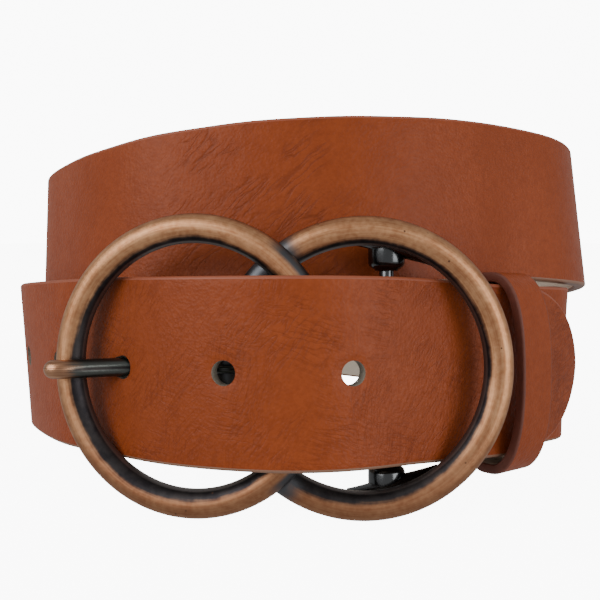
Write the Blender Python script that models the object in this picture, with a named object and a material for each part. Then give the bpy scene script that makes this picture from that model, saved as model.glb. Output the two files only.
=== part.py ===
"""Double ring belt, fastened and wound in two turns, standing on its edge.

A plain leather strap folds round a bar in the right ring, goes twice round the
coil, and comes back to the front as the tongue. The tongue passes behind the
left rim, over both inner wires, over the bar, behind the right rim and through
the keeper. The prong hinges on the right ring's left wire and lies on the left
rim.

Metres, Z up, the front towards -Y. Everything is first placed level, with the
front's nearest line at y = 0 and the strap's middle height there at z = 0.
The coil is then tipped back until it rests on the rings and its own rear edge.
"""

import math
from collections import namedtuple

import bpy
import numpy as np
from mathutils import Matrix

STRAP_WIDTH = 0.038
STRAP_THICKNESS = 0.0032
EDGE_BEVEL = 0.0005
COIL_RADIUS = 0.077
BULGE = 0.004
FOLD_LENGTH = 0.022
HOLE_PITCH = 0.025
HOLE_COUNT = 5
HOLES_TO_TIP = 2
HOLE_DIAMETER = 0.005
RIM_TO_HOLE = 0.0122
TIP_LENGTH = 0.023
RING_DIAMETER = 0.062
LEFT_RING_SQUEEZE = 0.95
LEFT_RING_RISE = 0.0008
RIGHT_RING_RISE = 0.0003
WIRE_DIAMETER = 0.0056
RING_SPACING = 0.035
LEFT_RING_OFFSET = 0.0219
RING_STEP = 0.0026
BUCKLE_BEND_RADIUS = 0.2
BUCKLE_BEND_OFFSET = 0.0105
BAR_DIAMETER = 0.0031
COLLAR_DIAMETER = 0.0068
PRONG_DIAMETER = 0.0039
PRONG_EYE_SHARE = 0.42
KEEPER_TURN = 44.5
KEEPER_WIDTH = 0.013
KEEPER_THICKNESS = 0.0022
KEEPER_CORNER = 0.0031
KEEPER_HEADROOM = 0.0013
KEEPER_BOW = 0.0023
KEEPER_SAG = 0.0006
BAR_TURN = 16.6
GAP = 0.0003
CLOSE_STEP = 0.003
WIDE_STEP = 0.0056
CLOSE_FROM_BAR = 0.09
CLOSE_TO_TIP = 0.15
TWO_TURNS = 720

LAYER = STRAP_THICKNESS + GAP
FRONT = COIL_RADIUS + BULGE
HALF_WIDTH = STRAP_WIDTH / 2
WIRE = WIRE_DIAMETER / 2
RING = (RING_DIAMETER - WIRE_DIAMETER) / 2

# The strap's run, from where it leaves the tongue's shadow to the tip. turn:
# degrees round the coil from the front, growing to the right. under: how many
# leathers lie outside this one. reach: distance of the outermost leather's
# face from the coil's axis, in coil radii. rise: height over the front's, in
# strap widths. lean: how far the top edge leans in, degrees.
Stop = namedtuple("Stop", "turn under reach rise lean")
RUN = [
    Stop(*row)
    for row in (
        (72, 1, 1.0130, -0.056, -3),
        (90, 1, 1.0180, -0.058, -3),
        (110, 1, 1.0250, -0.050, -2),
        (140, 1, 1.0280, 0.000, 0),
        (172, 1, 1.0260, 0.082, 1),
        (205, 1, 1.0200, 0.290, 2),
        (240, 1, 1.0100, 0.560, 2),
        (270, 1, 0.9950, 0.720, 1.5),
        (285, 1, 0.9780, 0.755, 1.5),
        (297, 1, 0.9450, 0.780, 1.5),
        (309, 1, 0.9280, 0.795, 1.5),
        (321, 1, 0.9180, 0.815, 2),
        (331, 1, 0.8960, 0.850, 2.5),
        (340, 3, 0.9570, 0.880, 3),
        (349, 3, 0.9380, 0.907, 3),
        (360, 3, 0.9260, 0.929, 3),
        (372, 3, 0.9310, 0.947, 3.5),
        (383, 3, 0.9400, 0.960, 4),
        (393, 3, 0.9470, 0.978, 4),
        (402, 3, 0.9640, 0.990, 4.5),
        (409.5, 3, 0.9870, 0.997, 4.5),
        (417, 3, 1.0350, 0.992, 5),
        (424, 3, 1.0890, 0.982, 5),
        (432, 3, 1.1360, 0.972, 5.5),
        (443, 1, 1.0850, 0.962, 6),
        (455, 1, 1.1070, 0.950, 6),
        (475, 1, 1.1080, 0.900, 5),
        (510, 1, 1.0960, 0.720, 3),
        (545, 0, 1.0450, 0.470, 2),
        (580, 0, 1.0400, 0.200, 1),
        (604, 0, 1.0340, 0.020, 0),
        (622, 0, 1.0270, -0.060, -1),
        (637, 0, 1.0155, -0.045, -3),
        (652, 0, 0.9980, -0.016, -4.5),
        (664, 0, 0.9810, -0.010, -2.5),
        (676, 0, 0.9840, -0.005, -1.0),
        (687, 0, 0.9865, 0, 0),
        (698, 0, 1.0165, 0, 0),
        (709, 0, 1.0400, 0, 0),
        (719, 0, 1.0515, 0, 0),
        (727, 0, 1.0390, 0, 0),
        (738, 0, 0.9890, -0.006, 0),
        (749, 0, 0.9630, -0.026, 0),
        (759, 0, 0.9640, -0.040, 0),
        (770, 0, 0.9850, -0.043, 0),
        (780, 0, 1.0240, -0.048, -1),
    )
]


def spline(knots, values):
    """Natural cubic through the knots, as a function of arrays."""
    knots = np.asarray(knots, float)
    values = np.asarray(values, float)
    count = len(knots)
    step = np.diff(knots)
    system = np.eye(count)
    right = np.zeros(count)
    for i in range(1, count - 1):
        system[i, i - 1 : i + 2] = step[i - 1], 2 * (step[i - 1] + step[i]), step[i]
        slopes = np.diff(values)[i - 1 : i + 1] / step[i - 1 : i + 1]
        right[i] = 6 * (slopes[1] - slopes[0])
    bend = np.linalg.solve(system, right)

    def at(places):
        places = np.asarray(places, float)
        i = np.clip(np.searchsorted(knots, places) - 1, 0, count - 2)
        before = knots[i + 1] - places
        after = places - knots[i]
        return (
            (bend[i] * before**3 + bend[i + 1] * after**3) / (6 * step[i])
            + (values[i] / step[i] - bend[i] * step[i] / 6) * before
            + (values[i + 1] / step[i] - bend[i + 1] * step[i] / 6) * after
        )

    return at


def unit(vectors):
    return vectors / np.linalg.norm(vectors, axis=-1, keepdims=True)


turn_knots = np.array([stop.turn for stop in RUN], float)
reach_knots = np.array([COIL_RADIUS * s.reach - s.under * LAYER for s in RUN])
rise_knots = np.array([STRAP_WIDTH * stop.rise for stop in RUN])
lean_knots = np.array([stop.lean for stop in RUN], float)


def plan(turns, reach):
    angle = np.radians(turns)
    return np.stack((reach * np.sin(angle), FRONT - reach * np.cos(angle)), -1)


# Under the tongue the strap keeps one layer inside it, from the bar on.
shadow = np.arange(BAR_TURN - 1, RUN[-1].turn - TWO_TURNS, 0.5) + TWO_TURNS
reach_at = spline(turn_knots, reach_knots)
cover = plan(shadow, reach_at(shadow))
heading = unit(np.gradient(cover, axis=0))
under_cover = cover - LAYER * np.stack((heading[:, 1], -heading[:, 0]), -1) - (0, FRONT)
under_turn = np.degrees(np.arctan2(under_cover[:, 0], -under_cover[:, 1]))
under_reach = np.linalg.norm(under_cover, axis=1)
first = np.linspace(BAR_TURN, under_turn[-1], 13)
rise_first = spline(turn_knots, rise_knots)(first + TWO_TURNS)
lean_first = spline(turn_knots, lean_knots)(first + TWO_TURNS)
turn_knots = np.concatenate((first, turn_knots))
reach_at = spline(
    turn_knots,
    np.concatenate((np.interp(first, under_turn, under_reach), reach_knots)),
)
rise_at = spline(turn_knots, np.concatenate((rise_first, rise_knots)))
lean_at = spline(turn_knots, np.concatenate((lean_first, lean_knots)))


def run_frame(turns):
    """Middle points of the run with their outward and upward directions."""
    level = plan(turns, reach_at(turns))
    heading = unit(np.gradient(level, axis=0))
    level -= STRAP_THICKNESS / 2 * np.stack((heading[:, 1], -heading[:, 0]), -1)
    middle = np.column_stack((level, rise_at(turns)))
    along = unit(np.gradient(middle, axis=0))
    outward = unit(np.cross(along, (0, 0, 1)))
    upward = np.cross(outward, along)
    lean = np.radians(lean_at(turns))[:, None]
    return (
        middle,
        outward * np.cos(lean) + upward * np.sin(lean),
        upward * np.cos(lean) - outward * np.sin(lean),
    )


def material(name, colour, metallic, roughness):
    made = bpy.data.materials.new(name)
    made.use_nodes = True
    shader = made.node_tree.nodes["Principled BSDF"]
    shader.inputs["Base Color"].default_value = (*colour, 1)
    shader.inputs["Metallic"].default_value = metallic
    shader.inputs["Roughness"].default_value = roughness
    return made


def piece(name, verts, faces, home, paint=None):
    mesh = bpy.data.meshes.new(name)
    mesh.from_pydata([tuple(v) for v in verts], [], faces)
    mesh.validate()
    made = bpy.data.objects.new(name, mesh)
    if paint:
        mesh.materials.append(paint)
    home.objects.link(made)
    return made


def loft(name, sections, home, paint=None, ring=False):
    """Joins equal sections into one closed skin; a ring joins last to first."""
    count = len(sections)
    sides = len(sections[0])
    verts = np.concatenate(sections)
    faces = []
    for i in range(count if ring else count - 1):
        here = i * sides
        there = (i + 1) % count * sides
        for j in range(sides):
            k = (j + 1) % sides
            faces.append((here + j, here + k, there + k, there + j))
    if not ring:
        faces.append(tuple(range(sides))[::-1])
        faces.append(tuple(range((count - 1) * sides, count * sides)))
    return piece(name, verts, faces, home, paint)


def flat_bar_section(half_width, half_thickness, bevel):
    """Bevelled rectangle as (across, out) pairs."""
    w, h, c = half_width, half_thickness, min(bevel, 0.4 * half_width)
    corners = ((w - c, h), (w, h - c), (w, c - h), (w - c, -h))
    return np.array(corners + tuple((-a, b) for a, b in corners[::-1]))


def tube(name, path, radii, sides, home, paint=None, ring=False, start=(0, 0, 1)):
    """Round rod along a path, with a radius for each point."""
    path = np.asarray(path, float)
    if ring:
        along = unit(np.roll(path, -1, 0) - np.roll(path, 1, 0))
    else:
        along = unit(np.gradient(path, axis=0))
    first = unit(np.cross(along, start))
    second = np.cross(along, first)
    angle = np.arange(sides) * 2 * math.pi / sides
    sections = [
        p + r * (np.outer(np.cos(angle), a) + np.outer(np.sin(angle), b))
        for p, r, a, b in zip(path, radii, first, second)
    ]
    return loft(name, sections, home, paint, ring)


def cut(target, cutter, operation="DIFFERENCE"):
    step = target.modifiers.new(cutter.name, "BOOLEAN")
    step.operation = operation
    step.solver = "EXACT"
    step.object = cutter


for old in list(bpy.data.objects):
    bpy.data.objects.remove(old)
belt = bpy.data.collections.new("double_ring_belt")
helpers = bpy.data.collections.new("cutters")
for home in (belt, helpers):
    bpy.context.scene.collection.children.link(home)
helpers.hide_render = True

leather = material("tan_leather", (0.29, 0.066, 0.021), 0, 0.55)
keeper_leather = material("keeper_leather", (0.29, 0.066, 0.021), 0, 0.55)
copper = material("antique_copper", (0.43, 0.24, 0.14), 1, 0.38)
black_metal = material("black_bar", (0.012, 0.012, 0.014), 1, 0.25)
prong_metal = material("prong_copper", (0.38, 0.23, 0.15), 1, 0.38)

# Bar: just inside the fold, level with the strap at the run's start.
fine = np.arange(BAR_TURN, RUN[-1].turn + 0.01, 0.25)
middle, outward, upward = run_frame(fine)
LOOP = STRAP_THICKNESS / 2 + GAP + BAR_DIAMETER / 2
flat_out = unit(outward[0] * (1, 1, 0))
flat_along = np.cross((0, 0, 1), flat_out)
bar_at = middle[0] - flat_out * LOOP
bar_at[2] = 0

# Strap: the fold's end, round the bar, then the whole run to the tip.
travel = np.concatenate(
    ([0], np.cumsum(np.linalg.norm(np.diff(middle, axis=0), axis=1)))
)
length = travel[-1]


def pick(values, places):
    return np.stack([np.interp(places, travel, values[:, k]) for k in range(3)], -1)


closing = np.append(np.linspace(1, 0.6, 3), np.linspace(0.5, 0.05, 10))
places = closing * FOLD_LENGTH
ease = 0.5 + 0.5 * np.cos(math.pi * np.clip(2 * closing - 0.1, 0, 1))
inset = LAYER + (2 * LOOP - LAYER) * ease
fold_middle = pick(middle, places) - pick(outward, places) * inset[:, None]
around = np.radians(np.linspace(-90, 90, 13))[:, None]
loop_middle = (
    middle[0]
    - flat_out * LOOP
    + LOOP * (flat_out * np.sin(around) - flat_along * np.cos(around))
)
far_end = length - CLOSE_TO_TIP
wide_count = int((far_end - CLOSE_FROM_BAR) / WIDE_STEP)
main_places = np.concatenate(
    (
        np.arange(CLOSE_STEP, CLOSE_FROM_BAR, CLOSE_STEP),
        np.linspace(CLOSE_FROM_BAR, far_end, wide_count),
        np.arange(far_end + CLOSE_STEP, length - TIP_LENGTH, CLOSE_STEP),
        length - TIP_LENGTH + TIP_LENGTH * np.sin(np.radians(np.linspace(9, 84, 10))),
    )
)
strap_middle = np.concatenate((fold_middle, loop_middle, pick(middle, main_places)))
strap_along = unit(np.gradient(strap_middle, axis=0))
blend = np.clip(main_places / FOLD_LENGTH, 0, 1)[:, None]
main_up = unit((1 - blend) * (0, 0, 1) + blend * pick(upward, main_places))
folded = len(fold_middle) + len(loop_middle)
strap_up = np.concatenate((np.tile((0, 0, 1), (folded, 1)), main_up))
strap_out = unit(np.cross(strap_along, strap_up))
from_tip = length - main_places
half_widths = np.full(len(strap_middle), HALF_WIDTH)
tip_share = np.clip(from_tip / TIP_LENGTH, 0, 1)
half_widths[-len(main_places) :] = HALF_WIDTH * np.sqrt(1 - (1 - tip_share) ** 2)
strap = loft(
    "strap",
    [
        p
        + np.outer(section[:, 0], up)
        + np.outer(section[:, 1], out)
        for p, up, out, section in zip(
            strap_middle,
            strap_up,
            strap_out,
            [
                flat_bar_section(w, STRAP_THICKNESS / 2, EDGE_BEVEL)[::-1]
                for w in half_widths
            ],
        )
    ],
    belt,
    leather,
)

# Holes, counted from the tip. The prong's own hole lies just inside the left rim.
left_x = -LEFT_RING_OFFSET
rim_x = left_x - RING * LEFT_RING_SQUEEZE
front = np.abs(fine - TWO_TURNS) < 45
prong_place = np.interp(rim_x + RIM_TO_HOLE, middle[front, 0], travel[front])
hole_places = [prong_place + (HOLES_TO_TIP - k) * HOLE_PITCH for k in range(HOLE_COUNT)]
for k, place in enumerate(hole_places):
    centre = pick(middle, [place])[0]
    out = unit(pick(outward, [place]))[0]
    reach = 1.5 * STRAP_THICKNESS
    hole = tube(
        f"hole_cutter_{k + 1}",
        [centre - out * reach, centre + out * reach],
        [HOLE_DIAMETER / 2] * 2,
        28,
        helpers,
    )
    cut(strap, hole)

# Buckle: two rings on one bent sheet, the left ring a step in front.
inner_x = left_x + RING * LEFT_RING_SQUEEZE
front_turns = np.arange(-20, 25, 0.5) + TWO_TURNS
front_face = plan(front_turns, reach_at(front_turns))
tongue_depth = np.interp(inner_x, front_face[:, 0], front_face[:, 1])


def bow(x):
    return (x - BUCKLE_BEND_OFFSET) ** 2 / (2 * BUCKLE_BEND_RADIUS)


def sheet(x):
    return tongue_depth + STRAP_THICKNESS + GAP + WIRE + bow(x) - bow(inner_x)


Ring = namedtuple("Ring", "x z squeeze step")
LEFT = Ring(left_x, LEFT_RING_RISE, LEFT_RING_SQUEEZE, 0)
RIGHT = Ring(left_x + RING_SPACING, RIGHT_RING_RISE, 1, RING_STEP)


def ring_path(ring, radius, angles):
    x = ring.x + radius * ring.squeeze * np.cos(angles)
    return np.stack((x, sheet(x) + ring.step, ring.z + radius * np.sin(angles)), -1)


whole = np.arange(72) * 2 * math.pi / 72
buckle = tube(
    "buckle_frame",
    ring_path(LEFT, RING, whole),
    [WIRE] * 72,
    14,
    belt,
    copper,
    ring=True,
    start=(0, 1, 0),
)
right_ring = tube(
    "right_ring",
    ring_path(RIGHT, RING, whole + 0.01),
    [WIRE] * 72,
    14,
    helpers,
    copper,
    ring=True,
    start=(0, 1, 0),
)
cut(buckle, right_ring, "UNION")
for side, name in ((1, "top"), (-1, "bottom")):
    spread = np.linspace(math.radians(97), math.radians(53), 11)
    lug_path = ring_path(RIGHT, RING - 0.3 * WIRE, spread * side)
    lug_path[:, 1] = bar_at[1] - 0.25 * (bar_at[1] - sheet(RIGHT.x) - RING_STEP)
    swell = np.sin(np.linspace(0.25, math.pi - 0.25, 11))
    lug = tube(
        f"{name}_lug",
        lug_path,
        WIRE * (0.35 + 0.85 * swell),
        12,
        helpers,
        black_metal,
        start=(0, 1, 0),
    )
    cut(buckle, lug, "UNION")
    inner = math.sqrt((RING - WIRE) ** 2 - (bar_at[0] - RIGHT.x) ** 2)
    levels = inner + WIRE * np.array([0.9, 0.1, -0.75, -1.25])
    collar_path = np.tile(bar_at, (4, 1))
    collar_path[:, 2] = side * levels
    collar = tube(
        f"{name}_collar",
        collar_path,
        COLLAR_DIAMETER / 2 * np.array([0.9, 1, 1, 0.66]),
        20,
        helpers,
        black_metal,
        start=(0, 1, 0),
    )
    cut(buckle, collar, "UNION")
    bore_path = np.tile(bar_at, (2, 1))
    bore_path[:, 2] = side * np.array([inner - 2 * WIRE, inner])
    bore = tube(
        f"{name}_bore",
        bore_path,
        [BAR_DIAMETER / 2 + GAP / 2] * 2,
        20,
        helpers,
        start=(0, 1, 0),
    )
    cut(buckle, bore)
bar_path = np.tile(bar_at, (2, 1))
bar_path[:, 2] = (GAP / 2 - inner, inner - GAP / 2)
bar = tube(
    "buckle_bar",
    bar_path,
    [BAR_DIAMETER / 2] * 2,
    20,
    belt,
    black_metal,
    start=(0, 1, 0),
)

# Prong: an open eye round the right ring's left wire, then over the left rim.
hinge = ring_path(RIGHT, RING, np.array([math.pi]))[0]
rim = ring_path(LEFT, RING, np.array([math.pi]))[0]
PRONG = PRONG_DIAMETER / 2
eye_radius = WIRE + GAP + PRONG * PRONG_EYE_SHARE
eye_turn = np.radians(np.linspace(-160, 113, 24))
eye = hinge + eye_radius * np.stack(
    (np.cos(eye_turn), -np.sin(eye_turn), 0 * eye_turn), -1
)
seat = rim - (0, WIRE + 2 * GAP + PRONG, 0)
emerge_place = prong_place + 0.1 * HOLE_DIAMETER
emerge = pick(middle, [emerge_place])[0]
emerge_out = unit(pick(outward, [emerge_place]))[0]
through = emerge + emerge_out * (0.35 * STRAP_THICKNESS - PRONG)
through[2] = 0
shank_knots = [0, 0.3, 0.62, 1, 1.14]
shank_x = [
    eye[-1][0],
    eye[-1][0] + 0.45 * (through[0] - eye[-1][0]),
    through[0],
    seat[0],
    rim[0] - 0.62 * WIRE,
]
shank_y = [
    eye[-1][1],
    eye[-1][1] + 0.78 * (through[1] - eye[-1][1]),
    through[1],
    seat[1],
    seat[1] + 0.02 * WIRE,
]
shank_share = np.linspace(0.06, 1.14, 20)
shank = np.stack(
    (
        spline(shank_knots, shank_x)(shank_share),
        spline(shank_knots, shank_y)(shank_share),
        0 * shank_share,
    ),
    -1,
)
nose_turn = np.radians([25, 50, 72, 84])
nose_along = unit(shank[-1] - shank[-2]) * PRONG
nose = shank[-1] + np.outer(np.sin(nose_turn), nose_along)
prong_path = np.concatenate((eye, shank, nose))
grow = np.interp(shank_share, [0, 0.45, 2], [PRONG_EYE_SHARE, 1, 1])
prong_size = PRONG * np.concatenate(
    (np.full(len(eye), PRONG_EYE_SHARE), grow, np.cos(nose_turn))
)
prong = tube("prong", prong_path, prong_size, 14, belt, prong_metal)
channel = tube(
    "prong_channel_cutter",
    shank[6:],
    PRONG * grow[6:] + GAP,
    14,
    helpers,
)
cut(strap, channel)

# Keeper: one band of leather round both layers, its joint hidden behind.
keeper_place = np.interp(KEEPER_TURN + TWO_TURNS, fine, travel)
keeper_out = unit(pick(outward, [keeper_place]) * (1, 1, 0))[0]
keeper_along = np.cross((0, 0, 1), keeper_out)
outer_skin = pick(middle, [keeper_place])[0] + keeper_out * STRAP_THICKNESS / 2
room = 1.3 * GAP
half_depth = STRAP_THICKNESS + GAP / 2 + room + KEEPER_THICKNESS / 2
half_height = HALF_WIDTH + KEEPER_HEADROOM + KEEPER_THICKNESS / 2
keeper_centre = outer_skin - keeper_out * (STRAP_THICKNESS + GAP / 2)
keeper_centre[2] -= KEEPER_SAG
corner = KEEPER_CORNER
lap = []
for sx, sz, begin in ((1, 1, 0), (-1, 1, 90), (-1, -1, 180), (1, -1, 270)):
    for turn in np.radians(np.linspace(begin, begin + 90, 8)):
        lap.append(
            (
                sx * (half_depth - corner) + corner * math.cos(turn),
                sz * (half_height - corner) + corner * math.sin(turn),
            )
        )
# Its front stands off the strap in a soft bow.
share = np.linspace(-1, 1, 16)[1:-1]
bowed = half_depth + KEEPER_BOW * (0.5 + 0.5 * np.cos(math.pi * share))
lap = np.concatenate((lap, np.stack((bowed, share * (half_height - corner)), -1)))
ahead = np.roll(lap, -1, 0) - np.roll(lap, 1, 0)
lap_normal = unit(np.stack((ahead[:, 1], -ahead[:, 0]), -1))
band = flat_bar_section(KEEPER_WIDTH / 2, KEEPER_THICKNESS / 2, EDGE_BEVEL)
keeper = loft(
    "keeper_loop",
    [
        keeper_centre
        + keeper_out * (spot[0] + band[:, 1:] * normal[0])
        + np.array((0, 0, 1)) * (spot[1] + band[:, 1:] * normal[1])
        + keeper_along * band[:, :1]
        for spot, normal in zip(lap, lap_normal)
    ],
    belt,
    keeper_leather,
    ring=True,
)

# Lean the coil back until the rings and the strap's lower edge both touch the
# ground, and centre it there.
def lowest(made, angle):
    turned = Matrix.Rotation(-angle, 4, "X")
    return min((turned @ v.co).z for v in made.data.vertices)


flat_angle, steep_angle = 0, math.radians(15)
for _ in range(40):
    coil_tilt = (flat_angle + steep_angle) / 2
    if lowest(strap, coil_tilt) > min(
        lowest(buckle, coil_tilt), lowest(right_ring, coil_tilt)
    ):
        flat_angle = coil_tilt
    else:
        steep_angle = coil_tilt
tip = Matrix.Rotation(-coil_tilt, 4, "X")
solids = list(belt.objects) + [right_ring]
corners = np.array([tip @ v.co for made in solids for v in made.data.vertices])
low = corners.min(0)
high = corners.max(0)
shift = Matrix.Translation((-(low[0] + high[0]) / 2, -(low[1] + high[1]) / 2, -low[2]))
for made in list(belt.objects) + list(helpers.objects):
    made.matrix_world = shift @ tip
for made in helpers.objects:
    made.display_type = "WIRE"
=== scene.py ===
"""Looks of the double ring belt: tan grained leather and antique copper rings.

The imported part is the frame, and each of its five solids gets one finer piece.
Lengths are in metres. Pieces are built level, as the belt is in use, and then
leaned back with the coil by one matrix, found from the bar's box.
"""

import math
from collections import namedtuple

import bpy
import numpy as np
from mathutils import Matrix, Vector


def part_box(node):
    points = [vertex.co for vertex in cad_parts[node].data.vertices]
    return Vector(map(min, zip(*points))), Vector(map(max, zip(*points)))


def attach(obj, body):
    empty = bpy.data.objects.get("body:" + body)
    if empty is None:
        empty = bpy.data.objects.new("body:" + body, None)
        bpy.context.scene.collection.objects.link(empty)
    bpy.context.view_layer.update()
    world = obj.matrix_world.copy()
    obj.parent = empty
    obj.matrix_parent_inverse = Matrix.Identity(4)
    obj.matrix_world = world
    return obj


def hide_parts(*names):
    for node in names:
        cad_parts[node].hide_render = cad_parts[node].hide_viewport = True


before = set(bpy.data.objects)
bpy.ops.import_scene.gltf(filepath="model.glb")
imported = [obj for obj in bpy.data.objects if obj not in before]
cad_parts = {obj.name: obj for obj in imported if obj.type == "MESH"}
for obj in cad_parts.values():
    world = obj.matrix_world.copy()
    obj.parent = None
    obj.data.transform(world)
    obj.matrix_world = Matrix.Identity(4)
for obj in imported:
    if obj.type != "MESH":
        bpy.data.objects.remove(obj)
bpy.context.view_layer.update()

# Leather strap.
STRAP_WIDTH = 0.038
STRAP_THICKNESS = 0.0032
EDGE_RADIUS = 0.0007
COIL_RADIUS = 0.077
BULGE = 0.004
FOLD_LENGTH = 0.022
HOLE_PITCH = 0.025
HOLE_COUNT = 5
HOLES_TO_TIP = 2
HOLE_DIAMETER = 0.005
RIM_TO_HOLE = 0.0122
TIP_LENGTH = 0.023
ROW_STEP = 0.001
DENT_DEPTH = 0.0003
DENT_REACH = 0.0008
PUNCH_SIDES = 64
STRAP_COLUMNS = 37
EDGE_POINTS = 9
TIP_ROWS = 40
RUN_STEP = 0.25
FOLD_GRAIN_FROM = -0.03
GAP = 0.0003
TWO_TURNS = 720
BAR_TURN = 16.6
BACK_TILT = math.radians(5.1559119)

# Buckle.
RING_DIAMETER = 0.062
LEFT_RING_SQUEEZE = 0.95
LEFT_RING_RISE = 0.0008
RIGHT_RING_RISE = 0.0003
WIRE_DIAMETER = 0.0056
INNER_SWELL = 0.00045
RING_SPACING = 0.035
LEFT_RING_OFFSET = 0.0219
RING_STEP = 0.0026
BUCKLE_BEND_RADIUS = 0.2
BUCKLE_BEND_OFFSET = 0.0105
BAR_DIAMETER = 0.0031
COLLAR_DIAMETER = 0.0078
RING_STEPS = 256
RING_SIDES = 40
LUG_FROM = 97
LUG_TO = 53
LUG_STEPS = 25
LUG_SIDES = 32
# Lugs, in wire radii, and how far they sit back towards the bar.
LUG_INSET = 0.3
LUG_THIN = 0.35
LUG_SWELL = 0.85
LUG_BACK = 0.25
BAR_SIDES = 32
COLLAR_SIDES = 48
# Collar, in wire radii from the ring's inside, with its share of full width.
COLLAR_LEVELS = (0.9, 0.1, -1.00, -1.22, -1.36, -1.46, -1.62)
COLLAR_SIZES = (0.9, 1, 1, 0.95, 0.84, 0.70, 0.60)
# Bar, in shares of its half height, with its share of full width.
BAR_LEVELS = (-1, -0.992, -0.98, 0, 0.98, 0.992, 1)
BAR_SIZES = (0.86, 0.97, 1, 1, 1, 0.97, 0.86)
PRONG_DIAMETER = 0.0039
PRONG_EYE_SHARE = 0.42
PRONG_SIDES = 36
PRONG_STEPS = 60
EYE_FROM = -160
EYE_TO = 113
SHANK_PAST_EYE = 16
GROOVE_DEPTH = 0.09
GROOVE_WIDTH = 0.20

# Keeper.
KEEPER_TURN = 44.5
KEEPER_WIDTH = 0.0106
KEEPER_THICKNESS = 0.0022
KEEPER_CORNER = 0.0035
KEEPER_TOP_SQUARENESS = 2.7
KEEPER_LOW_SQUARENESS = 2.45
KEEPER_HEADROOM = 0.0013
KEEPER_BOW = 0.0032
KEEPER_SLIDE = 0.0050
KEEPER_SLANT = 0.0005
KEEPER_SAG = 0.0006
KEEPER_EDGE = 0.0005
KEEPER_GRAIN_FROM = 0.2
KEEPER_ROOM = 0.00039
KEEPER_FRONT_ROWS = 80
KEEPER_CORNER_ROWS = 14
KEEPER_BACK_ROWS = 40
FACE_POINTS = 13
BACK_POINTS = 7

# Colours; a pair goes from the first to the second over the surface.
TAN = ((0.218, 0.0405, 0.0082), (0.254, 0.0510, 0.0125))
TAN_MOTTLE = (0.19, 0.031, 0.005)
TAN_PEBBLE = (0.15, 0.024, 0.004)
TAN_CREASE_SHADE = (0.12, 0.020, 0.004)
EDGE_PAINT_AND_HIGHLIGHT = ((0.20, 0.040, 0.012), (0.30, 0.075, 0.030))
RAW_EDGE = ((0.15, 0.065, 0.035), (0.26, 0.14, 0.09))
KEEPER_EDGE_SHADE = ((0.080, 0.018, 0.009), (0.155, 0.038, 0.019))
SUEDE = ((0.50, 0.42, 0.33), (0.68, 0.60, 0.50))
FIBRE = ((0.10, 0.085, 0.065), (0.27, 0.23, 0.18))
COPPER = ((0.31, 0.130, 0.060), (0.55, 0.300, 0.155))
COPPER_LOW_SHADE = (0.17, 0.062, 0.034)
COPPER_BACK = (0.06, 0.045, 0.04)
DARK_METAL = ((0.022, 0.020, 0.022), (0.045, 0.040, 0.040))
INNER_GLINT = (0.15, 0.135, 0.13)
GUNMETAL = (0.085, 0.088, 0.095)
SHADED_METAL = (0.02, 0.02, 0.022)
SHOULDER_METAL = (0.075, 0.075, 0.08)
RING_OUTLINE = (0.05, 0.03, 0.022)
RING_SPECK = (0.12, 0.06, 0.035)
BLACK_PLATE = ((0.060, 0.062, 0.064), (0.100, 0.103, 0.106))
PRONG_METAL = (0.085, 0.092, 0.085)
PRONG_COPPER = ((0.24, 0.105, 0.055), (0.52, 0.29, 0.17))
PRONG_GROOVE_SHADE = (0.022, 0.020, 0.020)
PRONG_WORN = (0.05, 0.04, 0.035)
PALE_FLOOR = ((0.90, 0.90, 0.90), (0.92, 0.92, 0.92))

# Grain sizes, in cells to the metre.
PORES = 1500
PEBBLES = 900
METAL_GRAIN = 700

# Crease nets of the leather: turn in degrees, length and width of a crease,
# seed and thinness, then size, limits and seed of the patches they come in.
Crease = namedtuple("Crease", "turn long short seed thin patch low high mix share")
STRAIN = Crease(38, 0.012, 0.0019, 3.1, 15, 120, 0.34, 0.62, 1.7, 1.3)
NET = (
    Crease(52, 0.008, 0.0013, 7.3, 15, 90, 0.38, 0.66, 5.0, 1),
    Crease(84, 0.009, 0.0010, 11.9, 14, 80, 0.42, 0.68, 9.0, 0.8),
    Crease(-14, 0.008, 0.0013, 17.0, 15, 90, 0.44, 0.70, 13.0, 1),
)

# Photo and setting.
PHOTO_SIZE = 600
FOCAL_PIXELS = 734
SENSOR = 36
AXIS_ROW = 295
EYE_POINT = (0, -0.140, 0.0152)
SETTING_REACH = 3
BACKDROP_STEP = 7.5
BACKDROP_BELOW = 0.02
FLOOR_GLOW = 9.0
PAPER_GLOW = 9.6
WORLD_GLOW = 0.55

FORWARD = (0, 1, 0)
LAYER = STRAP_THICKNESS + GAP
FRONT = COIL_RADIUS + BULGE
HALF_WIDTH = STRAP_WIDTH / 2
WIRE = WIRE_DIAMETER / 2
RING = (RING_DIAMETER - WIRE_DIAMETER) / 2
LOOP = STRAP_THICKNESS / 2 + GAP + BAR_DIAMETER / 2
PRONG = PRONG_DIAMETER / 2

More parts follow.
